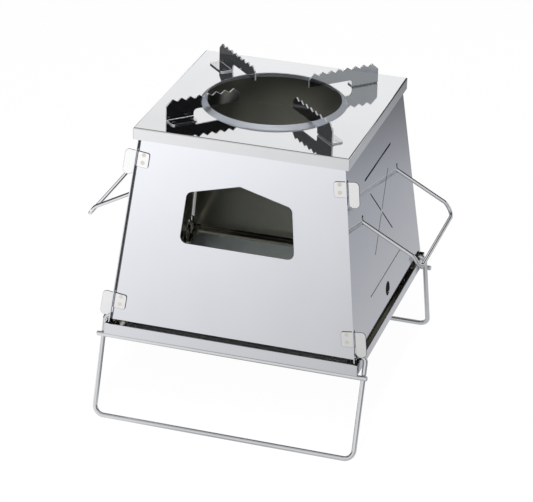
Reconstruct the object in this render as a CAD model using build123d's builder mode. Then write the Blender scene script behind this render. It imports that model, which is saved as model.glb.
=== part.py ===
from build123d import *
from math import atan2, cos, degrees, hypot, radians, sin, tan
import os

os.makedirs("parts", exist_ok=True)

# Sheets and rods
panel_sheet = 1.0
tray_sheet = 1.0
lid_sheet = 1.0
grate_sheet = 1.0
trivet_sheet = 1.5
hinge_sheet = 1.2
leg_rod = 5.0
handle_rod = 4.0

# Gaps that let pieces lift, turn and fold
seat_gap = 0.35
weld_gap = 0.05
arm_play = 1.5
strand_play = 2.2
saddle_play = 0.5
stub_play = 0.45
slot_play = 0.45
neck_play = 0.3
body_side_play = 1.5
body_end_play = 0.5
lid_side_play = 3.0
lid_end_play = 1.6
fold_slit = 0.5

# Ash tray, folded up from one sheet
tray_width = 268.0
tray_depth = 271.0
tray_wall = 12.6
tray_bend = 1.8
ride_height = 86.5

# Wire legs that hook over the tray's side walls
hook_inset = 16.5
saddle_depth = 1.2
strand_end_height = 4.3
foot_reach = 18.5
foot_bend = 10.0
crossbar_overhang = 5.1
crossbar_chamfer = 0.5

# Body of four leaning panels
body_height = 219.5
body_top_width = 210.7
body_top_depth = 214.9
end_recess = 5.0
front_gap = 0.4
back_gap = 1.75
front_clearance = 12.3
back_clearance = 6.8
side_clearance = 12.3
notch_inward = 12.0
notch_outward = 8.0
notch_headroom = 3.1
notch_corner = 6.0
inner_foot = 7.0
foot_corner = 1.5

# Window in the front panel
window_sill = 106.5
window_shoulder = 159.9
window_peak = 174.0
window_base_half = 60.0
window_shoulder_half = 54.5
window_corner = 7.0

# Air slits and air hole in the other three panels
slit_width = 1.6
top_slit_width = 2.5
top_slit_height = 173.0
top_slit_half = 50.0
cross_height = 118.6
cross_half_width = 34.0
cross_half_height = 33.7
cross_bridge = 2.5
low_slit_height = 50.6
low_slit_half = 61.0
air_hole_radius = 7.5
air_hole_height = 31.6

# Loose sheet hinges that carry the front panel
lower_hinge_rise = 26.6
upper_hinge_drop = 40.9
hinge_plate = 12.65
hinge_neck = 16.0
hinge_head = 11.0
hinge_head_gap = 0.6
hinge_head_drop = 10.3
hinge_plate_corner = 2.4
hinge_head_corner = 4.6
hinge_slot_width = 3.5
hinge_slot_above = 2.2
lower_slot_below = 7.0

# Bent hinges that hold the back panel
back_lower_rise = 72.4
back_upper_rise = 146.9
back_hinge_leg = 8.0
back_hinge_inset = 0.4
back_hinge_bend = 1.7

# Carrying handles
handle_half_width = 67.0
handle_pivot_height = 138.3
handle_bend_reach = 57.0
handle_bend = 10.0
handle_reach = 65.0
handle_fall = 42.5
handle_corner = 9.0
handle_stub = 12.0
handle_stub_bend = 3.0
handle_drop = 28.5
handle_raise = 44.0

# Loose fire grate
grate_side_margin = 16.5
grate_end_margin = 21.0
grate_flange = 3.7
grate_bend = 1.6
grate_slot_length = 62.0
grate_slot_width = 6.0
grate_slot_pitch = 24.0
grate_row_pitch = 80.0
grate_columns = 7
grate_rows = 2

# Lid with its raised rim
lid_flange = 12.5
lid_bend = 1.5
rim_outer_radius = 74.5
rim_inner_radius = 68.9
rim_height = 4.2

# Four toothed trivets
trivet_foot_gap = 16.5
trivet_foot = 30.0
trivet_length = 81.0
trivet_arm_height = 8.5
trivet_heel_height = 16.0
trivet_tip_height = 17.0
tooth_count = 8
tooth_pitch = 9.6
tooth_inset = 7.3
tooth_top = 22.9
tooth_depth = 3.4
tooth_round = 0.9
trivet_flange = 14.0
trivet_flange_inset = 1.0
trivet_flange_corner = 3.0
trivet_foot_round = 4.0
trivet_bend = 2.2

# Slopes of the body that stands in the tray and is capped by the lid
body_base_width = tray_width - 2 * tray_sheet - 2 * body_side_play
body_base_depth = tray_depth - 2 * tray_sheet - 2 * body_end_play
side_slope = (body_base_width - body_top_width) / 2 / body_height
end_slope = (body_base_depth - body_top_depth) / 2 / body_height
side_lean = atan2(side_slope, 1)
end_lean = atan2(end_slope, 1)
edge_stretch = hypot(1, side_slope, end_slope)

# Levels above the ground
tray_floor = ride_height + tray_sheet
tray_top = ride_height + tray_wall
hook_z = tray_top - saddle_depth + leg_rod / 2 + saddle_play
body_bottom = tray_floor + seat_gap + panel_sheet * sin(side_lean)
body_top = body_bottom + body_height
lid_top = body_top + seat_gap + lid_sheet

# Hooks of the legs, over the tray's side walls
saddle_y = tray_depth / 2 - hook_inset
arm_x = tray_width / 2 + arm_play + leg_rod / 2
strand_x = tray_width / 2 - tray_sheet - strand_play - leg_rod / 2

# Upper and lower hinges, front and back
hinge_rises = {"lower": lower_hinge_rise, "upper": body_height - upper_hinge_drop}
slot_below = {"lower": lower_slot_below, "upper": 0.0}
back_hinge_rises = {"lower": back_lower_rise, "upper": back_upper_rise}


def side_x(rise):
    # Outer face of a side panel, out from the middle
    return body_base_width / 2 - rise * side_slope


def side_edge_y(rise):
    # Upright edge of a side panel, out from the middle
    return body_base_depth / 2 - rise * end_slope


def end_y(rise):
    # Outer face of the front or back panel, out from the middle
    return side_edge_y(rise) - end_recess


side_faces = {
    "right": Plane((side_x(0), 0, body_bottom), (0, 1, 0), (cos(side_lean), 0, sin(side_lean))),
    "left": Plane((-side_x(0), 0, body_bottom), (0, -1, 0), (-cos(side_lean), 0, sin(side_lean))),
}
end_faces = {
    "front": Plane((0, -end_y(0), body_bottom), (1, 0, 0), (0, -cos(end_lean), sin(end_lean))),
    "back": Plane((0, end_y(0), body_bottom), (-1, 0, 0), (0, cos(end_lean), sin(end_lean))),
}


def write(piece, name):
    piece.part.label = name
    export_step(piece.part, f"parts/{name}.step")


def corner_slits(width, depth, sheet):
    # Diagonal gaps where folded walls meet at a corner
    for x in (-1, 1):
        for y in (-1, 1):
            with Locations((x * width / 2, y * depth / 2)):
                Rectangle(6 * sheet, fold_slit, rotation=45 * x * y)


def air_slits(top_width):
    # Top slit, four slits of the cross, low slit and the round hole
    with Locations((0, top_slit_height)):
        SlotOverall(2 * top_slit_half, top_width)
    cross_length = hypot(cross_half_width, cross_half_height)
    middle = (cross_length + cross_bridge) / 2
    for across in (-1, 1):
        for up in (-1, 1):
            angle = atan2(up * cross_half_height, across * cross_half_width)
            with Locations((middle * cos(angle), cross_height + middle * sin(angle))):
                SlotOverall(cross_length - cross_bridge, slit_width, rotation=degrees(angle))
    with Locations((0, low_slit_height)):
        SlotOverall(2 * low_slit_half, slit_width)
    with Locations((0, air_hole_height)):
        Circle(air_hole_radius)


# Ash tray
saddle_radius = leg_rod / 2 + saddle_play

with BuildPart() as tray:
    with BuildSketch(Plane.XY.offset(ride_height)):
        Rectangle(tray_width, tray_depth)
    extrude(amount=tray_wall)
    fillet(tray.faces().sort_by(Axis.Z)[0].edges(), tray_bend)
    offset(amount=-tray_sheet, openings=tray.faces().sort_by(Axis.Z)[-1])
    with BuildSketch(Plane.XY.offset(ride_height + tray_bend)):
        corner_slits(tray_width, tray_depth, tray_sheet)
    extrude(amount=tray_wall, mode=Mode.SUBTRACT)
    # Round notches that the hooks lie in
    with BuildSketch(Plane.YZ):
        with Locations((-saddle_y, hook_z), (saddle_y, hook_z)):
            Circle(saddle_radius)
    extrude(amount=tray_width, both=True, mode=Mode.SUBTRACT)
write(tray, "tray")


# Wire legs and the crossbars welded across them
hook_bend = (arm_x - strand_x) / 2
foot_y = tray_depth / 2 + foot_reach
foot_z = leg_rod / 2
leg_lean = atan2(foot_y - saddle_y, hook_z - foot_z)
leg_length = hypot(foot_y - saddle_y, hook_z - foot_z)
strand_length = (hook_z - ride_height - strand_end_height) / cos(leg_lean)
crossbar_z = ride_height - seat_gap - leg_rod / 2
crossbar_y = saddle_y + (hook_z - crossbar_z) * tan(leg_lean) + (leg_rod + weld_gap) / cos(leg_lean)


def make_leg(name, end):
    # Drawn in the plane of the leaning leg, from the hooks down
    plane = Plane((0, end * saddle_y, hook_z), (1, 0, 0), (0, -cos(leg_lean), -end * sin(leg_lean)))
    hook_middle = (arm_x + strand_x) / 2
    with BuildPart() as leg:
        with BuildLine(plane):
            for side in (-1, 1):
                Line((side * strand_x, -strand_length), (side * strand_x, -hook_bend))
                ThreePointArc(
                    (side * strand_x, -hook_bend),
                    (side * hook_middle, 0),
                    (side * arm_x, -hook_bend),
                )
                arm = Line((side * arm_x, -hook_bend), (side * arm_x, foot_bend - leg_length))
                RadiusArc(arm @ 1, (side * (arm_x - foot_bend), -leg_length), side * foot_bend)
            Line((foot_bend - arm_x, -leg_length), (arm_x - foot_bend, -leg_length))
        strand_end = plane.from_local_coords((strand_x, -strand_length, 0))
        with BuildSketch(Plane(strand_end, (1, 0, 0), plane.y_dir)):
            Circle(leg_rod / 2)
        sweep()
    write(leg, name)


def make_crossbar(name, end):
    half_length = arm_x + crossbar_overhang
    with BuildPart() as crossbar:
        with BuildSketch(Plane((0, end * crossbar_y, crossbar_z), (0, 1, 0), (1, 0, 0))):
            Circle(leg_rod / 2)
        extrude(amount=half_length, both=True)
        chamfer(crossbar.faces().filter_by(Axis.X).edges(), crossbar_chamfer)
    write(crossbar, name)


for name, end in (("front", -1), ("back", 1)):
    make_leg(f"{name}_leg", end)
    make_crossbar(f"{name}_leg_crossbar", end)


# Fire grate
with BuildPart() as fire_grate:
    with BuildSketch(Plane.XY.offset(tray_floor + seat_gap)):
        Rectangle(tray_width - 2 * grate_side_margin, tray_depth - 2 * grate_end_margin)
    extrude(amount=grate_flange)
    fillet(fire_grate.faces().sort_by(Axis.Z)[-1].edges(), grate_bend)
    offset(amount=-grate_sheet, openings=fire_grate.faces().sort_by(Axis.Z)[0])
    with BuildSketch(Plane.XY.offset(tray_floor)):
        with GridLocations(grate_slot_pitch, grate_row_pitch, grate_columns, grate_rows):
            SlotOverall(grate_slot_length, grate_slot_width, rotation=90)
    extrude(amount=2 * grate_flange, mode=Mode.SUBTRACT)
write(fire_grate, "fire_grate")


# Handle slots reach as far as the wire does on its way through the sheet
wire_reach = stub_play + handle_rod / 2 + panel_sheet
down_angle = radians(handle_drop) + side_lean
up_angle = radians(handle_raise) - side_lean
slot_low = handle_pivot_height - wire_reach * tan(down_angle) - handle_rod / 2 / cos(down_angle) - slot_play
slot_high = handle_pivot_height + wire_reach * tan(up_angle) + handle_rod / 2 / cos(up_angle) + slot_play


def make_side_panel(name, face, front):
    # Local x runs along the sheet, to the front where front is 1
    base = side_edge_y(0)
    top = side_edge_y(body_height)
    slant = body_height / cos(side_lean)
    notch_height = hook_z + leg_rod / 2 + notch_headroom - body_bottom
    notch_inner = saddle_y - notch_inward
    notch_outer = saddle_y + notch_outward
    slot_turn = degrees(atan2(end_slope * cos(side_lean), 1))
    with BuildPart() as panel:
        with BuildSketch(face):
            Polygon((-base, 0), (base, 0), (top, slant), (-top, slant), align=None)
            # Notches over the hooks
            with Locations(((notch_inner + notch_outer) / 2, 0), (-(notch_inner + notch_outer) / 2, 0)):
                Rectangle(notch_outer - notch_inner, 2 * notch_height, mode=Mode.SUBTRACT)
            fillet(vertices().group_by(Axis.Y)[1], notch_corner)
            # Raised edge between the feet
            Rectangle(2 * (notch_inner - inner_foot), 2 * side_clearance, mode=Mode.SUBTRACT)
            fillet(vertices().group_by(Axis.Y)[1], foot_corner)
        extrude(amount=-panel_sheet)
        with BuildSketch(face):
            air_slits(top_slit_width)
            # Slots for the necks of the front hinges
            for level, rise in hinge_rises.items():
                low = -neck_play - slot_below[level]
                high = hinge_neck + hinge_slot_above
                middle = rise + (low + high) / 2 / edge_stretch
                behind = end_recess - hinge_sheet / 2
                with Locations((front * (side_edge_y(middle) - behind), middle / cos(side_lean))):
                    SlotOverall(high - low, hinge_slot_width, rotation=90 + front * slot_turn)
            # Slots for the handle's wire
            for across in (-1, 1):
                with Locations((across * handle_half_width, (slot_low + slot_high) / 2)):
                    SlotOverall(slot_high - slot_low, handle_rod + 2 * slot_play, rotation=90)
        extrude(amount=-panel_sheet, mode=Mode.SUBTRACT)
    write(panel, name)


def make_end_panel(name, face, clearance, gap):
    slant = body_height / cos(end_lean)
    inset = panel_sheet / cos(side_lean) + gap
    base = side_x(clearance * cos(end_lean)) - inset
    top = side_x(body_height) - inset
    with BuildPart() as panel:
        with BuildSketch(face):
            Polygon((-base, clearance), (base, clearance), (top, slant), (-top, slant), align=None)
        extrude(amount=-panel_sheet)
        with BuildSketch(face):
            if name == "front_panel":
                # Window with a roof-shaped top
                Polygon(
                    (-window_base_half, window_sill),
                    (window_base_half, window_sill),
                    (window_shoulder_half, window_shoulder),
                    (0, window_peak),
                    (-window_shoulder_half, window_shoulder),
                    align=None,
                )
                fillet(vertices().sort_by(Axis.Y)[:-1], window_corner)
            else:
                air_slits(slit_width)
        extrude(amount=-panel_sheet, mode=Mode.SUBTRACT)
    write(panel, name)


make_side_panel("left_panel", side_faces["left"], 1)
make_side_panel("right_panel", side_faces["right"], -1)
make_end_panel("front_panel", end_faces["front"], front_clearance, front_gap)
make_end_panel("back_panel", end_faces["back"], back_clearance, back_gap)


def make_front_hinge(name, side, rise):
    # Plate on the front panel, neck through the side panel's slot, wide head outside it
    corner = Vector(side * side_x(rise), -end_y(rise), body_bottom + rise)
    along = Vector(-side * side_slope, end_slope, 1).normalized()
    sideways = along.cross(Vector(0, -cos(end_lean), sin(end_lean))) * side
    plane = Plane(corner, sideways, sideways.cross(along))
    plate_end = panel_sheet / cos(side_lean) + front_gap + hinge_plate
    head_middle = hinge_head_gap + hinge_head / 2
    with BuildPart() as hinge:
        with BuildSketch(plane):
            with Locations(((head_middle - plate_end) / 2, hinge_neck / 2)):
                Rectangle(head_middle + plate_end, hinge_neck)
            fillet(vertices().group_by(Axis.X)[0], hinge_plate_corner)
            with Locations((head_middle, (hinge_neck - hinge_head_drop) / 2)):
                RectangleRounded(hinge_head, hinge_neck + hinge_head_drop, hinge_head_corner)
        extrude(amount=side * hinge_sheet)
    write(hinge, name)


def make_back_hinge(name, side, rise):
    # One leg inside the side panel's edge, the other through the gap and in front of the back panel
    corner = Vector(side * side_x(rise), end_y(rise), body_bottom + rise)
    along = Vector(-side * side_slope, -end_slope, 1).normalized()
    inward = along.cross(Vector(0, cos(end_lean), sin(end_lean))) * side
    backward = along.cross(Vector(cos(side_lean), 0, side * sin(side_lean)))
    plane = Plane(corner, inward, along)
    outer = panel_sheet + weld_gap
    behind = end_recess - back_hinge_inset
    ahead = -panel_sheet - seat_gap
    outline = [
        (outer, behind),
        (outer, ahead - hinge_sheet),
        (outer + back_hinge_leg, ahead - hinge_sheet),
        (outer + back_hinge_leg, ahead),
        (outer + hinge_sheet, ahead),
        (outer + hinge_sheet, behind),
    ]
    points = [plane.to_local_coords(corner + inward * a + backward * b) for a, b in outline]
    with BuildPart() as hinge:
        with BuildSketch(plane):
            Polygon(*[(point.X, point.Y) for point in points], align=None)
            fillet(vertices().sort_by_distance(points[1])[0], back_hinge_bend)
            fillet(vertices().sort_by_distance(points[4])[0], back_hinge_bend - hinge_sheet)
        extrude(amount=hinge_neck)
    write(hinge, name)


for side_name, side in (("left", -1), ("right", 1)):
    for level, rise in hinge_rises.items():
        make_front_hinge(f"front_{side_name}_{level}_hinge", side, rise)
    for level, rise in back_hinge_rises.items():
        make_back_hinge(f"back_{side_name}_{level}_hinge", side, rise)


def make_handle(name, face, side):
    # Bail of wire, its stubs lying along the inside of the panel and its ends turned down to the grip
    pivot = face.from_local_coords((0, handle_pivot_height, -panel_sheet - stub_play - handle_rod / 2))
    stub_end = handle_half_width - handle_stub
    bend_fall = handle_bend_reach * tan(radians(handle_drop))
    half = [
        (0, stub_end, 0, 0),
        (0, handle_half_width, 0, handle_stub_bend),
        (handle_bend_reach, handle_half_width, bend_fall, handle_bend),
        (handle_reach, handle_half_width, handle_fall, handle_corner),
    ]
    path = half + [(out, -across, fall, radius) for out, across, fall, radius in reversed(half)]
    corners = [pivot + Vector(side * out, across, -fall) for out, across, fall, radius in path]
    with BuildPart() as handle:
        with BuildLine():
            start = corners[0]
            for number in range(1, len(corners) - 1):
                before = (corners[number] - corners[number - 1]).normalized()
                after = (corners[number + 1] - corners[number]).normalized()
                turn = radians(before.get_angle(after))
                cut = path[number][3] * tan(turn / 2)
                arc_start = corners[number] - before * cut
                arc_end = corners[number] + after * cut
                Line(start, arc_start)
                TangentArc(arc_start, arc_end, tangent=before)
                start = arc_end
            Line(start, corners[-1])
        with BuildSketch(Plane(corners[0], (side, 0, 0), (0, 1, 0))):
            Circle(handle_rod / 2)
        sweep()
    write(handle, name)


make_handle("left_handle", side_faces["left"], -1)
make_handle("right_handle", side_faces["right"], 1)


# Lid, its flanges hanging outside the body
flange_rise = body_height + seat_gap + lid_sheet - lid_flange
lid_width = 2 * (side_x(flange_rise) + lid_side_play + lid_sheet)
lid_depth = 2 * (side_edge_y(flange_rise) + lid_end_play + lid_sheet)
rim_run = rim_outer_radius - rim_inner_radius
rim_curve = hypot(rim_run, rim_height) ** 2 / (2 * rim_height)

with BuildPart() as lid:
    with BuildSketch(Plane.XY.offset(lid_top)):
        Rectangle(lid_width, lid_depth)
    extrude(amount=-lid_flange)
    fillet(lid.faces().sort_by(Axis.Z)[-1].edges(), lid_bend)
    offset(amount=-lid_sheet, openings=lid.faces().sort_by(Axis.Z)[0])
    with BuildSketch(Plane.XY.offset(lid_top - lid_bend)):
        corner_slits(lid_width, lid_depth, lid_sheet)
    extrude(amount=-lid_flange, mode=Mode.SUBTRACT)
    with BuildSketch(Plane.XY.offset(lid_top)):
        Circle(rim_outer_radius - lid_sheet)
    extrude(amount=-lid_sheet, mode=Mode.SUBTRACT)
    # Rim pressed up and rolled in over the hole
    with BuildSketch(Plane.XZ):
        with BuildLine():
            crown = RadiusArc((rim_outer_radius, lid_top), (rim_inner_radius, lid_top + rim_height), -rim_curve)
            lip = Line(crown @ 1, (rim_inner_radius, lid_top + rim_height - lid_sheet))
            RadiusArc(lip @ 1, (rim_outer_radius - lid_sheet, lid_top - lid_sheet), rim_curve)
            Polyline(
                (rim_outer_radius - lid_sheet, lid_top - lid_sheet),
                (rim_outer_radius + lid_sheet, lid_top - lid_sheet),
                (rim_outer_radius + lid_sheet, lid_top),
                crown @ 0,
            )
        make_face()
    revolve(axis=Axis.Z)
write(lid, "lid")


def make_trivet(name, angle):
    # Angle section along a radius of the hole, then cut to its side view and its foot
    outer = rim_outer_radius + trivet_foot_gap + trivet_foot
    inner = outer - trivet_length
    foot = outer - trivet_foot
    radial = Vector(cos(radians(angle)), sin(radians(angle)), 0)
    across = Vector(-sin(radians(angle)), cos(radians(angle)), 0)
    origin = (0, 0, lid_top)
    flange_inner = foot + trivet_flange_inset
    flange_length = trivet_foot - 2 * trivet_flange_inset
    with BuildPart() as trivet:
        with BuildSketch(Plane(origin, across, radial)):
            Rectangle(trivet_flange, trivet_sheet, align=Align.MIN)
            Rectangle(trivet_sheet, tooth_top, align=Align.MIN)
            fillet(vertices().sort_by_distance((0, 0))[0], trivet_bend)
            fillet(vertices().sort_by_distance((trivet_sheet, trivet_sheet))[0], trivet_bend - trivet_sheet)
        extrude(amount=outer)
        # Side view with its row of teeth
        with BuildSketch(Plane(origin, radial, -across)):
            with BuildLine():
                teeth = [(outer, trivet_heel_height)]
                for tooth in range(tooth_count):
                    peak = outer - tooth_inset - tooth * tooth_pitch
                    teeth.append((peak, tooth_top))
                    teeth.append((peak - tooth_pitch / 2, tooth_top - tooth_depth))
                teeth[-1] = (inner, trivet_tip_height)
                Polyline(
                    (outer, 0),
                    *teeth,
                    (inner, trivet_arm_height),
                    (foot, trivet_arm_height),
                    (foot, 0),
                    close=True,
                )
            make_face()
            low_limit = tooth_top - tooth_depth - tooth_round
            fillet(vertices().filter_by_position(Axis.Y, low_limit, tooth_top), tooth_round)
            fillet(vertices().sort_by_distance((foot, trivet_arm_height))[0], trivet_foot_round)
        extrude(amount=trivet_flange, both=True, mode=Mode.INTERSECT)
        # Rounded flange under the blade
        with BuildSketch(Plane(origin, radial, (0, 0, 1))):
            Rectangle(outer, trivet_bend, align=Align.MIN)
            with Locations((flange_inner, 0)):
                Rectangle(flange_length, trivet_flange, align=Align.MIN)
            fillet(vertices().group_by(Axis.Y)[-1], trivet_flange_corner)
        extrude(amount=tooth_top, mode=Mode.INTERSECT)
    write(trivet, name)


for name, angle in (("back_right", 45), ("back_left", 135), ("front_left", 225), ("front_right", 315)):
    make_trivet(f"{name}_trivet", angle)
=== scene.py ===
import math

import bmesh
import bpy
from mathutils import Matrix, Vector


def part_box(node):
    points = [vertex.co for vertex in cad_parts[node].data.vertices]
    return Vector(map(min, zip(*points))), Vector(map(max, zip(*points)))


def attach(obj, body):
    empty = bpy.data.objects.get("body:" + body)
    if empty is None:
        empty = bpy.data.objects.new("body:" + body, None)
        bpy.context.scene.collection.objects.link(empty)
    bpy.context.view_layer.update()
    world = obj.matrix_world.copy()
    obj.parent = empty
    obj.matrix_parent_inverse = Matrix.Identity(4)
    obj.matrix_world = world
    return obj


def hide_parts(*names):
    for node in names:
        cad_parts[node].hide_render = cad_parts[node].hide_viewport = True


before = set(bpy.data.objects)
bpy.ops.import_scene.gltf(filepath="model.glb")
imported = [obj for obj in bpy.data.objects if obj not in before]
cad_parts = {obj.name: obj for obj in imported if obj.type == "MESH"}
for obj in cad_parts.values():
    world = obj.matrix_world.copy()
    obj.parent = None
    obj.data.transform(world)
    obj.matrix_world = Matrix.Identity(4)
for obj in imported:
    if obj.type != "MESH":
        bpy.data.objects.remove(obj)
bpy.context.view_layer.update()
mm = 0.001
print("frame loaded with", len(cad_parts), "nodes")


# Small helpers for colours, shader nodes and objects

def linearColour(hexText):
    # sRGB hex to the linear values that the shaders take
    shares = [int(hexText[i:i + 2], 16) / 255 for i in (1, 3, 5)]
    return (*[s / 12.92 if s <= 0.04045 else ((s + 0.055) / 1.055) ** 2.4 for s in shares], 1.0)


def addNode(tree, kind, settings=None, links=None):
    # Settings are inputs where the node has one of that name or number, and options otherwise
    node = tree.nodes.new(kind)
    settings = settings or {}
    options = [key for key in settings if isinstance(key, str) and key not in node.inputs]
    for key in options:
        setattr(node, key, settings[key])
    for key, value in settings.items():
        if key not in options:
            node.inputs[key].default_value = value
    for key, socket in (links or {}).items():
        tree.links.new(socket, node.inputs[key])
    return node


def newMaterial(name):
    material = bpy.data.materials.new(name)
    material.use_nodes = True
    material.node_tree.nodes.clear()
    return material


def addObject(name, mesh, materials):
    data = bpy.data.meshes.new(name)
    mesh.to_mesh(data)
    mesh.free()
    for material in materials:
        data.materials.append(material)
    made = bpy.data.objects.new(name, data)
    bpy.context.scene.collection.objects.link(made)
    return made


# Stainless finishes

# Detail of the three noises, the clouds' share in the gloss, and the noise values at its two ends
steelNoise = {"grainDetail": 3.0, "grainRoughness": 0.55, "cloudDetail": 2.0, "waveDetail": 1.0,
              "cloudShare": 0.4, "glossyAt": 0.3, "dullAt": 0.7}


def stainless(name, finish):
    # One steel, whose surface is set by how it was rolled, ground or drawn
    material = newMaterial(name)
    tree = material.node_tree
    place = addNode(tree, "ShaderNodeTexCoord")
    stretch = addNode(tree, "ShaderNodeMapping",
                      {"Scale": tuple(1 / (size * mm) for size in finish["grain"])},
                      {"Vector": place.outputs["Object"]})
    grain = addNode(tree, "ShaderNodeTexNoise",
                    {"Scale": 1.0, "Detail": steelNoise["grainDetail"],
                     "Roughness": steelNoise["grainRoughness"]},
                    {"Vector": stretch.outputs["Vector"]})
    cloud = addNode(tree, "ShaderNodeTexNoise",
                    {"Scale": 1 / (finish["cloudSize"] * mm), "Detail": steelNoise["cloudDetail"]},
                    {"Vector": place.outputs["Object"]})
    # The grain and soft clouds vary the gloss a little
    spread = addNode(tree, "ShaderNodeMix", {"data_type": "FLOAT", 0: steelNoise["cloudShare"]},
                     {2: grain.outputs["Fac"], 3: cloud.outputs["Fac"]})
    gloss = addNode(tree, "ShaderNodeMapRange",
                    {"From Min": steelNoise["glossyAt"], "From Max": steelNoise["dullAt"],
                     "To Min": finish["glossiest"], "To Max": finish["dullest"]},
                    {"Value": spread.outputs[0]})
    tint = addNode(tree, "ShaderNodeMix",
                   {"data_type": "RGBA", 6: linearColour(finish["dark"]),
                    7: linearColour(finish["light"])},
                   {0: cloud.outputs["Fac"]})
    wave = addNode(tree, "ShaderNodeTexNoise",
                   {"Scale": 1 / (finish["waveSize"] * mm), "Detail": steelNoise["waveDetail"]},
                   {"Vector": place.outputs["Object"]})
    flatness = addNode(tree, "ShaderNodeBump",
                       {"Strength": 1.0, "Distance": finish["waveDepth"] * mm},
                       {"Height": wave.outputs["Fac"]})
    scratches = addNode(tree, "ShaderNodeBump",
                        {"Strength": 1.0, "Distance": finish["grainDepth"] * mm},
                        {"Height": grain.outputs["Fac"], "Normal": flatness.outputs["Normal"]})
    steel = addNode(tree, "ShaderNodeBsdfPrincipled", {"Metallic": finish.get("bare", 1.0)},
                    {"Base Color": tint.outputs[2], "Roughness": gloss.outputs["Result"],
                     "Normal": scratches.outputs["Normal"]})
    addNode(tree, "ShaderNodeOutputMaterial", links={"Surface": steel.outputs["BSDF"]})
    return material


# Grain is along, across and through, in mm; drawn coarser than the real 0.05 mm so that it shows.
# The share of bare metal is 1 where none is given, and less under a dull film.
coldRolledSheet = {"grain": (26, 26, 0.9), "grainDepth": 0.0002, "cloudSize": 45,
                   "waveSize": 90, "waveDepth": 0.02, "glossiest": 0.05, "dullest": 0.10,
                   "dark": "#DADCE1", "light": "#E0E1E6"}
sidewaysSheet = {**coldRolledSheet, "grain": (26, 0.9, 0.9), "glossiest": 0.07, "dullest": 0.14}
# The inside finishes are darker as painted shade of the insides of the firebox and tray
paintedShadeInside = {"grain": (30, 30, 1.1), "grainDepth": 0.0008, "cloudSize": 40,
               "waveSize": 90, "waveDepth": 0.02, "glossiest": 0.09, "dullest": 0.16,
               "dark": "#93928A", "light": "#A3A296", "bare": 0.5}
# Painted shade, nearly black, for the insides of the side panels' lips
paintedShadeLip = {**paintedShadeInside, "dark": "#2E2E2C", "light": "#3A3A37"}
paintedShadeTray = {**paintedShadeInside, "bare": 1.0}
polishedSheet = {"grain": (30, 1.2, 30), "grainDepth": 0.0001, "cloudSize": 60,
                 "waveSize": 120, "waveDepth": 0.01, "glossiest": 0.03, "dullest": 0.06,
                 "dark": "#DCDDDF", "light": "#E4E5E6"}
spunRim = {**polishedSheet, "glossiest": 0.26, "dullest": 0.36, "dark": "#B7BBC4",
           "light": "#C4C8D0", "bare": 0.5}
tumbledPlate = {"grain": (1.4, 1.4, 1.4), "grainDepth": 0.0004, "cloudSize": 14,
                "waveSize": 30, "waveDepth": 0.006, "glossiest": 0.04, "dullest": 0.10,
                "dark": "#C3C8CC", "light": "#D0D4D7"}
brushedPlate = {"grain": (6, 6, 0.5), "grainDepth": 0.0002, "cloudSize": 12,
                "waveSize": 25, "waveDepth": 0.002, "glossiest": 0.08, "dullest": 0.16,
                "dark": "#E2E2E3", "light": "#EAEAEA"}
grainedPlate = {"grain": (9, 1.1, 9), "grainDepth": 0.002, "cloudSize": 20,
                "waveSize": 60, "waveDepth": 0.02, "glossiest": 0.50, "dullest": 0.68,
                "dark": "#8C9494", "light": "#A6AEAE", "bare": 0.4}
drawnWire = {"grain": (12, 0.7, 0.7), "grainDepth": 0.0003, "cloudSize": 18,
             "waveSize": 40, "waveDepth": 0.004, "glossiest": 0.05, "dullest": 0.11,
             "dark": "#D6D8DA", "light": "#E4E5E7"}
shearedEdge = {**tumbledPlate, "glossiest": 0.42, "dullest": 0.55, "dark": "#D2D5D7",
               "light": "#DFE1E3", "bare": 0.6}
# The hinges' cut edges are darkened as painted shade, the outline that a gap's shadow would give
paintedShadeHingeEdge = {**shearedEdge, "dark": "#6A6D71", "light": "#7A7D80", "bare": 1.0}
heatTint = {"grain": (0.8, 0.8, 0.8), "grainDepth": 0.001, "cloudSize": 2,
            "waveSize": 4, "waveDepth": 0.002, "glossiest": 0.22, "dullest": 0.36,
            "dark": "#DCD2C6", "light": "#E8E2DA"}
tintedRing = {**heatTint, "dark": "#B39C83", "light": "#CDBBA6"}

panelSteel = stainless("coldRolledStainlessPanel", coldRolledSheet)  # near mirror, faint grain
traySteel = stainless("coldRolledStainlessTray", sidewaysSheet)  # the same with a softer mirror
paintedShadeInsideSteel = stainless("paintedShadeStainlessInside", paintedShadeInside)  # olive, painted shade of the firebox's inside, darker than the outside
paintedShadeLipSteel = stainless("paintedShadeStainlessLip", paintedShadeLip)  # nearly black, near the welds, as painted shade on the lips' insides
paintedShadeTrayInsideSteel = stainless("paintedShadeStainlessTrayInside", paintedShadeTray)  # darker than the panels, as painted shade inside the tray
lidSteel = stainless("polishedStainlessLid", polishedSheet)  # crisp reflections
rimSteel = stainless("spunStainlessRim", spunRim)  # satin, stretched as the rim was pressed up
trivetSteel = stainless("tumbledStainlessPlate", tumbledPlate)  # grey, deburred in a drum
hingeSteel = stainless("brushedStainlessPlate", brushedPlate)  # pale satin with short level lines
grateSteel = stainless("grainedStainlessGrate", grainedPlate)  # matt grey with lines across
wireSteel = stainless("drawnStainlessWire", drawnWire)  # bright, with fine draw lines
shearedSteel = stainless("shearedStainlessEdge", shearedEdge)  # matt outline of the plates
paintedShadeHingeEdgeSteel = stainless("paintedShadeHingeOutline", paintedShadeHingeEdge)  # darker than the panels behind, painted shade as the plates' outline
weldHeart = stainless("heatTintedWeldHeart", heatTint)  # straw colour left by the spot welder
weldRing = stainless("heatTintedWeldRing", tintedRing)  # browner where the heat faded out
print("finishes made")


# Merged copies of the CAD pieces, their cut edges slightly rounded

merging = {"gap": 0.001, "flatAngle": 0.2, "smoothAngle": 35}  # mm and degrees
cutEdges = {"facing": 0.95, "angle": 40, "segments": 2}


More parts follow.
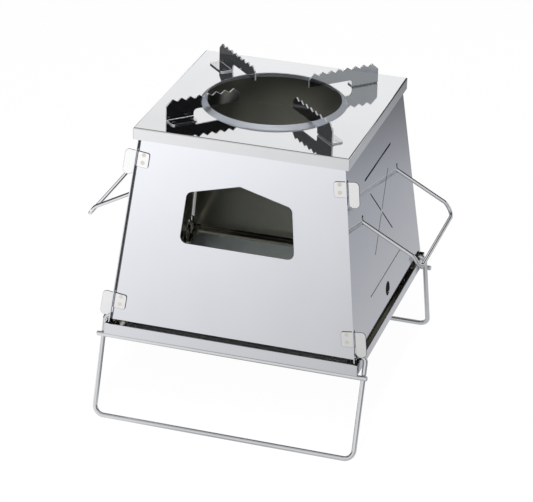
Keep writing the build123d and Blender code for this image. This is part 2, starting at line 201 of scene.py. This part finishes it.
def finishPiece(name, mesh, carrier, materials, smoothAngle=merging["smoothAngle"]):
    piece = addObject(name, mesh, materials)
    piece.data.polygons.foreach_set("use_smooth", [True] * len(piece.data.polygons))
    piece.data.set_sharp_from_angle(angle=math.radians(smoothAngle))
    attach(piece, carrier)
    return piece


def cleanCopy(node):
    # The node's loose triangles as one mesh of whole faces
    mesh = bmesh.new()
    mesh.from_mesh(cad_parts[node].data)
    gap = merging["gap"] * mm
    bmesh.ops.remove_doubles(mesh, verts=mesh.verts, dist=gap)
    bmesh.ops.dissolve_degenerate(mesh, dist=gap, edges=mesh.edges)
    bmesh.ops.dissolve_limit(mesh, angle_limit=math.radians(merging["flatAngle"]),
                             verts=mesh.verts, edges=mesh.edges)
    return mesh


def markCutFaces(mesh, flats):
    # Faces that look along none of the sheet's flat directions are its cut edges
    ways = [Vector(flat).normalized() for flat in flats]
    for face in mesh.faces:
        face.normal_update()
        flattest = max(abs(face.normal.dot(way)) for way in ways)
        face.material_index = int(flattest < cutEdges["facing"])
    return mesh


def refineNode(node, carrier, materials, mesh=None, cutEdge=0.12, edgeMaterial=-1):
    # Rounds the edges by cutEdge, in mm; edge material -1 is that of the faces beside the edge
    piece = finishPiece(node + "_shown", mesh or cleanCopy(node), carrier, materials)
    if cutEdge:
        rounding = piece.modifiers.new("cutEdges", "BEVEL")
        rounding.width = cutEdge * mm
        rounding.segments = cutEdges["segments"]
        rounding.limit_method = "ANGLE"
        rounding.angle_limit = math.radians(cutEdges["angle"])
        rounding.use_clamp_overlap = True
        rounding.material = edgeMaterial
    weighted = piece.modifiers.new("flatFaces", "WEIGHTED_NORMAL")
    weighted.keep_sharp = True
    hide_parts(node)


# Leaning faces of the body, in mm from the middle and from the ground; slopes are run over rise
body = {"slope": 0.11913, "baseHalf": 131.5, "endSlope": 0.12096, "edgeHalf": 134.0,
        "bottom": 87.97, "recess": 5.0}
backSlits = {"shownWidth": 0.25, "width": 1.6, "top": 173.0, "topHalf": 50.0, "low": 50.6,
             "lowHalf": 61.0, "cross": 118.6, "crossHalf": (34.0, 33.7), "reach": 3.0}
# Faces that look outwards by less than insideBelow have the inside's finish, a painted shade
panels = {
    "front_panel": {"outward": (0, -1, 0), "insideBelow": -0.5, "lips": False},
    "back_panel": {"outward": (0, 1, 0), "insideBelow": 0.5, "lips": False},  # its cut faces too, so the slits take the painted shade
    "left_panel": {"outward": (-1, 0, 0), "insideBelow": -0.5, "lips": True},
    "right_panel": {"outward": (1, 0, 0), "insideBelow": -0.5, "lips": True},
}


def narrowSlits(mesh, look):
    # The back panel's slits are laser cuts, finer than those of the side panels
    lean = math.atan(body["endSlope"])
    up = Vector((0, -math.sin(lean), math.cos(lean)))
    crossLength = math.hypot(*look["crossHalf"])
    crossRun, crossRise = (half / crossLength for half in look["crossHalf"])
    # Height of each slit's middle, its direction, and half its length
    slits = [(look["top"], (1, 0), look["topHalf"]),
             (look["low"], (1, 0), look["lowHalf"]),
             (look["cross"], (crossRun, -crossRise), crossLength),
             (look["cross"], (crossRun, crossRise), crossLength)]
    ratio = look["shownWidth"] / look["width"]
    for vert in mesh.verts:
        x, slant = vert.co.x / mm, (vert.co.z / mm - body["bottom"]) / math.cos(lean)
        for height, (run, rise), half in slits:
            along = x * run + (slant - height) * rise
            off = (slant - height) * run - x * rise
            if abs(off) < look["width"] and abs(along) < half + look["reach"]:
                shift = off * (ratio - 1) * mm
                vert.co += Vector((-rise, 0, 0)) * shift + up * run * shift
                break


def cutOffLips(mesh):
    # Splits the faces where the side panels' lips stand past the front and back panels
    for end in (-1, 1):
        innerFace = Vector((0, end * (body["edgeHalf"] - body["recess"]), body["bottom"])) * mm
        bmesh.ops.bisect_plane(mesh, geom=mesh.verts[:] + mesh.edges[:] + mesh.faces[:],
                               dist=merging["gap"] * mm, plane_co=innerFace,
                               plane_no=Vector((0, end, body["endSlope"])).normalized())


def markPanelSides(mesh, look):
    # Finish 0 is the outside, 1 the inside's painted shade, and 2 the darker painted shade inside a
    # side panel's lips
    for face in mesh.faces:
        face.normal_update()
        inside = face.normal.dot(Vector(look["outward"])) < look["insideBelow"]
        middle = face.calc_center_median() / mm
        rise = middle.z - body["bottom"]
        beyond = abs(middle.y) - body["edgeHalf"] + body["recess"] + rise * body["endSlope"]
        face.material_index = 2 if inside and look["lips"] and beyond > 0 else int(inside)


for node, look in panels.items():
    mesh = cleanCopy(node)
    if node == "back_panel":
        narrowSlits(mesh, backSlits)
    if look["lips"]:
        cutOffLips(mesh)
    markPanelSides(mesh, look)
    materials = [panelSteel, paintedShadeInsideSteel, paintedShadeLipSteel] if look["lips"] else [panelSteel, paintedShadeInsideSteel]
    refineNode(node, "firebox", materials, mesh)

# Faces of the tray further in than this, in mm, are its inside, which takes the painted shade
trayInside = {"fromWall": 0.8, "fromFloor": 0.5}
mesh = cleanCopy("tray")
trayLow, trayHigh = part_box("tray")
for face in mesh.faces:
    middle = face.calc_center_median()
    fromWall = min(trayHigh[0] - abs(middle.x), trayHigh[1] - abs(middle.y))
    fromFloor = middle.z - trayLow[2]
    face.material_index = int(fromWall > trayInside["fromWall"] * mm
                              and fromFloor > trayInside["fromFloor"] * mm)
refineNode("tray", "base", [traySteel, paintedShadeTrayInsideSteel], mesh)

refineNode("fire_grate", "grate", [grateSteel])

# The slacks, in mm, take in the vertices that lie on the rim's two outlines
rim = {"outer": 74.5, "outerSlack": 0.1, "inner": 68.9, "innerSlack": 0.05, "height": 4.2,
       "slope": 0.72}


def slopeRim(mesh, look):
    # The rim slopes evenly, as the photograph shows, where the CAD piece has a round crown
    width, height = look["outer"] - look["inner"], look["height"]
    crownRadius = (width ** 2 + height ** 2) / (2 * height)
    for vert in mesh.verts:
        reach = math.hypot(vert.co.x, vert.co.y) / mm
        if look["inner"] - look["innerSlack"] < reach < look["outer"]:
            run = max(reach - look["inner"], 0)
            crown = height - crownRadius + math.sqrt(crownRadius ** 2 - run ** 2)
            vert.co.z += ((look["outer"] - reach) * look["slope"] - crown) * mm
    for face in mesh.faces:
        farthest = max(math.hypot(vert.co.x, vert.co.y) for vert in face.verts) / mm
        face.material_index = int(farthest < look["outer"] + look["outerSlack"])


mesh = cleanCopy("lid")
slopeRim(mesh, rim)
refineNode("lid", "top", [lidSteel, rimSteel], mesh, cutEdge=0.35)

for end in ("front", "back"):
    for side in ("left", "right"):
        # Each trivet has an upright blade along the hole's radius, and a flat foot
        bladeFacing = (1, -1, 0) if (end == "back") == (side == "right") else (1, 1, 0)
        mesh = markCutFaces(cleanCopy(f"{end}_{side}_trivet"), [bladeFacing, (0, 0, 1)])
        refineNode(f"{end}_{side}_trivet", "top", [trivetSteel, shearedSteel],
                   mesh, cutEdge=0.35, edgeMaterial=1)
        for level in ("lower", "upper"):
            hinge = f"{end}_{side}_{level}_hinge"
            mesh = markCutFaces(cleanCopy(hinge), [(0, 1, -body["endSlope"])])
            refineNode(hinge, "firebox", [hingeSteel, paintedShadeHingeEdgeSteel],
                       mesh, cutEdge=0.3, edgeMaterial=1)
    for wire in ("leg", "leg_crossbar"):
        refineNode(f"{end}_{wire}", f"{end}_stand", [wireSteel], cutEdge=0)
for side in ("left", "right"):
    refineNode(f"{side}_handle", f"{side}_bail", [wireSteel], cutEdge=0)
print("CAD pieces refined")


# Spot welds, each a dished heart in a raised ring, in mm

spotWeld = {"radius": 2.2, "ring": 0.7, "ringRise": 0.07, "heartRise": 0.02, "sink": 0.03,
            "segments": 28, "smoothAngle": 60}
hingeWelds = {"inset": 8.06, "rises": (4.0, 12.0), "lower": 26.6, "upper": 178.6, "sheet": 1.2}
backWelds = {"inset": 2.6, "rises": (4.2, 11.8), "lower": 72.4, "upper": 146.9, "scale": 0.6}
trivetWelds = {"radii": (96.0, 116.0), "across": 8.1, "lidTop": 308.82, "sheet": 1.5,
               "angles": {"back_right": 45, "back_left": 135, "front_left": 225,
                          "front_right": 315}}


def addSpotWelds(name, spots, carrier, look, scale=1.0):
    # Every spot is a place in mm and the direction that its surface faces
    mesh = bmesh.new()
    ringStep = look["ring"] * scale * mm / 2
    for centre, facing in spots:
        made = bmesh.ops.create_circle(mesh, cap_ends=True, radius=look["radius"] * scale * mm,
                                       segments=look["segments"])
        heart = made["verts"][0].link_faces[0]
        heart.normal_update()
        for rise in (look["ringRise"] + look["sink"], look["heartRise"] - look["ringRise"]):
            bmesh.ops.inset_region(mesh, faces=[heart], thickness=ringStep, depth=0)
            bmesh.ops.translate(mesh, verts=heart.verts, vec=(0, 0, rise * mm))
        rings = {face for vert in (*made["verts"], *heart.verts) for face in vert.link_faces}
        for face in rings - {heart}:
            face.material_index = 1
        turn = Vector(facing).to_track_quat("Z", "Y").to_matrix().to_4x4()
        sunk = Vector(centre) * mm - Vector(facing).normalized() * look["sink"] * mm
        bmesh.ops.transform(mesh, matrix=Matrix.Translation(sunk) @ turn,
                            verts=list({vert for face in rings for vert in face.verts}))
    bmesh.ops.recalc_face_normals(mesh, faces=mesh.faces)
    finishPiece(name, mesh, carrier, [weldHeart, weldRing], look["smoothAngle"])


def endFacePoint(sideSign, inset, rise, proud):
    # On the front panel's face: inset from the side panel's outer face, and proud of the sheet
    lean = math.atan(body["endSlope"])
    x = sideSign * (body["baseHalf"] - rise * body["slope"] - inset)
    y = -(body["edgeHalf"] - rise * body["endSlope"] - body["recess"]) - proud * math.cos(lean)
    return (x, y, body["bottom"] + rise + proud * math.sin(lean))


def sideFacePoint(sideSign, inset, rise):
    # On a side panel's outer face: inset from its back edge
    return (sideSign * (body["baseHalf"] - rise * body["slope"]),
            body["edgeHalf"] - rise * body["endSlope"] - inset, body["bottom"] + rise)


for sideName, sideSign in (("left", -1), ("right", 1)):
    for level in ("lower", "upper"):
        spots = [(endFacePoint(sideSign, hingeWelds["inset"], hingeWelds[level] + rise,
                               hingeWelds["sheet"]), (0, -1, body["endSlope"]))
                 for rise in hingeWelds["rises"]]
        addSpotWelds(f"front_{sideName}_{level}_welds", spots, "firebox", spotWeld)
    spots = [(sideFacePoint(sideSign, backWelds["inset"], backWelds[level] + rise),
              (sideSign, 0, body["slope"]))
             for level in ("lower", "upper") for rise in backWelds["rises"]]
    addSpotWelds(f"back_{sideName}_welds", spots, "firebox", spotWeld,
                 backWelds["scale"])
footTop = Vector((0, 0, trivetWelds["lidTop"] + trivetWelds["sheet"]))
for corner, angle in trivetWelds["angles"].items():
    radial = Vector((math.cos(math.radians(angle)), math.sin(math.radians(angle)), 0))
    across = Vector((-radial.y, radial.x, 0))
    spots = [(radial * radius + across * trivetWelds["across"] + footTop, (0, 0, 1))
             for radius in trivetWelds["radii"]]
    addSpotWelds(f"{corner}_trivet_welds", spots, "top", spotWeld)
print("spot welds made")


# Camera at the photograph's angle; metres, degrees, and millimetres for the lens and sensor

photoView = {"position": (0.6460, -2.1384, 1.2397), "azimuth": 16.908, "elevation": 26.201,
             "roll": 1.411, "lens": 161.26, "sensor": 36}


def placeCamera(view):
    azimuth, elevation, roll = (math.radians(view[key]) for key in ("azimuth", "elevation", "roll"))
    back = Vector((math.sin(azimuth) * math.cos(elevation),
                   -math.cos(azimuth) * math.cos(elevation), math.sin(elevation)))
    level = Vector((math.cos(azimuth), math.sin(azimuth), 0))
    upright = back.cross(level)
    across = math.cos(roll) * level + math.sin(roll) * upright
    up = math.cos(roll) * upright - math.sin(roll) * level
    camera = bpy.data.objects.new("photoCamera", bpy.data.cameras.new("photoCamera"))
    camera.data.sensor_width = view["sensor"]
    camera.data.lens = view["lens"]
    turned = Matrix((across, up, back)).transposed().to_4x4()
    camera.matrix_world = Matrix.Translation(view["position"]) @ turned
    bpy.context.scene.collection.objects.link(camera)
    bpy.context.scene.camera = camera


placeCamera(photoView)


# White studio: a glowing floor, the dim walls of a room, and four glowing cards

studioFloor = {
    "size": 14.0,
    "rampStart": -0.6, "leftGlow": 1.32,  # brightest on the left, which the front panel mirrors
    "rampEnd": 0.45, "rightGlow": 0.33,  # dimmest on the right, which the side panel mirrors
    "hueStart": 0.05, "rightHue": "#F1F5FF",  # and a little cooler there
    "farEdge": -2.6, "nearEdge": -1.7, "frontShare": 0.45,  # it dims towards the room in front
    "behindStart": 0.6, "behindEnd": 1.15, "behindShare": 0.1,  # and behind the stove
    "darkPatch": (-0.75, 0.3, 0), "patchCore": 0.25, "patchRim": 0.5, "patchShare": 0.08,
    "underCore": 0.10, "underRim": 0.21, "underShare": 0.2,  # the stove shades the floor under it
    "pageHue": "#FFFFFF", "page": 1.02,  # hue and strength of the floor as the camera sees it
    "paint": "#F2F2F2", "shadowShare": 0.05,
}
# Glow of the walls; the room changes over these parts of a unit direction, in x, y and abs y
studioRoom = {"left": 0.11, "right": 0.015, "sideSpan": (-0.6, 0.6),
              "front": 1.1, "back": 0.08, "endSpan": (-0.5, 0.5), "endShareSpan": (0.45, 0.85)}
# Each card's strength runs between two values over the axis of its fade
studioCards = {
    "cardBehind": {"size": (0.68, 0.31), "centre": (-0.19, 0.6, 0.585), "aim": (-0.19, 0, 0.585),
                   "strength": (1.14, 0.88)},
    "overheadLight": {"size": (3.6, 2.1), "centre": (0, -1.15, 2.3), "aim": (0, -1.15, 0),
                      "strength": (0.6, 0.6)},
    "rightCard": {"size": (1.7, 0.9), "centre": (0.85, 0.60, 0.46), "aim": (0, 0.60, 0.46),
                  "strength": (0.5, 1.0), "fade": "Y"},
    "lampAbove": {"size": (0.2, 2.2), "centre": (0.2, -1.5, 2.0), "aim": (0.2, -1.5, 0),
                  "strength": (38.0, 38.0), "shines": False},
}


def layFloor(look):
    mesh = bmesh.new()
    bmesh.ops.create_grid(mesh, x_segments=1, y_segments=1, size=look["size"] / 2)
    material = newMaterial("paleStudioFloor")
    tree = material.node_tree
    rays = addNode(tree, "ShaderNodeLightPath")
    place = addNode(tree, "ShaderNodeTexCoord")
    point = addNode(tree, "ShaderNodeSeparateXYZ", links={"Vector": place.outputs["Object"]})
    away = addNode(tree, "ShaderNodeVectorMath", {"operation": "DISTANCE", 1: look["darkPatch"]},
                   {0: place.outputs["Object"]})
    fromMiddle = addNode(tree, "ShaderNodeVectorMath", {"operation": "LENGTH"},
                         {0: place.outputs["Object"]})
    brightness = addNode(tree, "ShaderNodeMapRange",
                         {"From Min": look["rampStart"], "From Max": look["rampEnd"],
                          "To Min": look["leftGlow"], "To Max": look["rightGlow"]},
                         {"Value": point.outputs["X"]})
    # What each shade depends on, how it runs, where it starts and ends, and its shares there
    shades = [
        (point.outputs["Y"], "LINEAR", "farEdge", "nearEdge", look["frontShare"], 1.0),
        (point.outputs["Y"], "LINEAR", "behindStart", "behindEnd", 1.0, look["behindShare"]),
        (away.outputs["Value"], "SMOOTHSTEP", "patchCore", "patchRim", look["patchShare"], 1.0),
        (fromMiddle.outputs["Value"], "SMOOTHSTEP", "underCore", "underRim",
         look["underShare"], 1.0)]
    for socket, run, start, end, startShare, endShare in shades:
        shade = addNode(tree, "ShaderNodeMapRange",
                        {"interpolation_type": run, "From Min": look[start],
                         "From Max": look[end], "To Min": startShare, "To Max": endShare},
                        {"Value": socket})
        brightness = addNode(tree, "ShaderNodeMath", {"operation": "MULTIPLY"},
                             {0: brightness.outputs[0], 1: shade.outputs["Result"]})
    strength = addNode(tree, "ShaderNodeMix", {"data_type": "FLOAT", 3: look["page"]},
                       {0: rays.outputs["Is Camera Ray"], 2: brightness.outputs[0]})
    pageColour = linearColour(look["pageHue"])
    cool = addNode(tree, "ShaderNodeMapRange",
                   {"From Min": look["hueStart"], "From Max": look["rampEnd"]},
                   {"Value": point.outputs["X"]})
    hue = addNode(tree, "ShaderNodeMix",
                  {"data_type": "RGBA", 6: pageColour, 7: linearColour(look["rightHue"])},
                  {0: cool.outputs["Result"]})
    seenHue = addNode(tree, "ShaderNodeMix", {"data_type": "RGBA", 7: pageColour},
                      {0: rays.outputs["Is Camera Ray"], 6: hue.outputs[2]})
    glow = addNode(tree, "ShaderNodeEmission",
                   links={"Color": seenHue.outputs[2], "Strength": strength.outputs[0]})
    paint = addNode(tree, "ShaderNodeBsdfDiffuse", {"Color": linearColour(look["paint"])})
    # Seen directly or in a reflection the floor is a white page, which keeps a faint shadow
    seen = addNode(tree, "ShaderNodeMath", {"operation": "MAXIMUM"},
                   {0: rays.outputs["Is Camera Ray"], 1: rays.outputs["Is Glossy Ray"]})
    share = addNode(tree, "ShaderNodeMath",
                    {"operation": "MULTIPLY", 1: 1 - look["shadowShare"]},
                    {0: seen.outputs[0]})
    mixed = addNode(tree, "ShaderNodeMixShader",
                    links={0: share.outputs[0], 1: paint.outputs["BSDF"],
                           2: glow.outputs["Emission"]})
    addNode(tree, "ShaderNodeOutputMaterial", links={"Surface": mixed.outputs["Shader"]})
    floor = addObject("studioFloor", mesh, [material])


def lightRoom(look):
    world = bpy.data.worlds.new("studioRoom")
    world.use_nodes = True
    tree = world.node_tree
    tree.nodes.clear()
    rays = addNode(tree, "ShaderNodeLightPath")
    way = addNode(tree, "ShaderNodeTexCoord")
    heading = addNode(tree, "ShaderNodeSeparateXYZ", links={"Vector": way.outputs["Generated"]})
    sides = addNode(tree, "ShaderNodeMapRange",
                    {"From Min": look["sideSpan"][0], "From Max": look["sideSpan"][1],
                     "To Min": look["left"], "To Max": look["right"]},
                    {"Value": heading.outputs["X"]})
    end = addNode(tree, "ShaderNodeMapRange",
                  {"From Min": look["endSpan"][0], "From Max": look["endSpan"][1],
                   "To Min": look["front"], "To Max": look["back"]},
                  {"Value": heading.outputs["Y"]})
    ends = addNode(tree, "ShaderNodeMath", {"operation": "ABSOLUTE"}, {0: heading.outputs["Y"]})
    endShare = addNode(tree, "ShaderNodeMapRange",
                       {"interpolation_type": "SMOOTHSTEP", "From Min": look["endShareSpan"][0],
                        "From Max": look["endShareSpan"][1]},
                       {"Value": ends.outputs[0]})
    room = addNode(tree, "ShaderNodeMix", {"data_type": "FLOAT"},
                   {0: endShare.outputs["Result"], 2: sides.outputs["Result"],
                    3: end.outputs["Result"]})
    # Where the camera looks past the floor's edge, the room is pale and even
    strength = addNode(tree, "ShaderNodeMix", {"data_type": "FLOAT", 3: 1.0},
                       {0: rays.outputs["Is Camera Ray"], 2: room.outputs[0]})
    air = addNode(tree, "ShaderNodeBackground", links={"Strength": strength.outputs[0]})
    addNode(tree, "ShaderNodeOutputWorld", links={"Surface": air.outputs["Background"]})
    bpy.context.scene.world = world


def stageCard(name, size, centre, aim, strength, fade="Z", shines=True):
    # Plain glowing card that lights the object and, where it shines, shows in its reflections
    mesh = bmesh.new()
    bmesh.ops.create_grid(mesh, x_segments=1, y_segments=1, size=0.5)
    bmesh.ops.scale(mesh, vec=(*size, 1), verts=mesh.verts)
    turn = (Vector(aim) - Vector(centre)).to_track_quat("Z", "Y").to_matrix().to_4x4()
    bmesh.ops.transform(mesh, matrix=Matrix.Translation(centre) @ turn, verts=mesh.verts)
    reach = sorted(vert.co["XYZ".index(fade)] for vert in mesh.verts)
    material = newMaterial(name)
    tree = material.node_tree
    place = addNode(tree, "ShaderNodeTexCoord")
    point = addNode(tree, "ShaderNodeSeparateXYZ", links={"Vector": place.outputs["Object"]})
    rise = addNode(tree, "ShaderNodeMapRange",
                   {"From Min": reach[0], "From Max": reach[-1] + mm,  # never an empty range
                    "To Min": strength[0], "To Max": strength[1]},
                   {"Value": point.outputs[fade]})
    glow = addNode(tree, "ShaderNodeEmission", links={"Strength": rise.outputs["Result"]})
    addNode(tree, "ShaderNodeOutputMaterial", links={"Surface": glow.outputs["Emission"]})
    card = addObject(name, mesh, [material])
    card.visible_camera = False
    card.visible_shadow = False
    card.visible_glossy = shines


layFloor(studioFloor)
lightRoom(studioRoom)
for name, look in studioCards.items():
    stageCard(name, **look)
print("studio lit")

bpy.context.scene.view_settings.view_transform = "Standard"
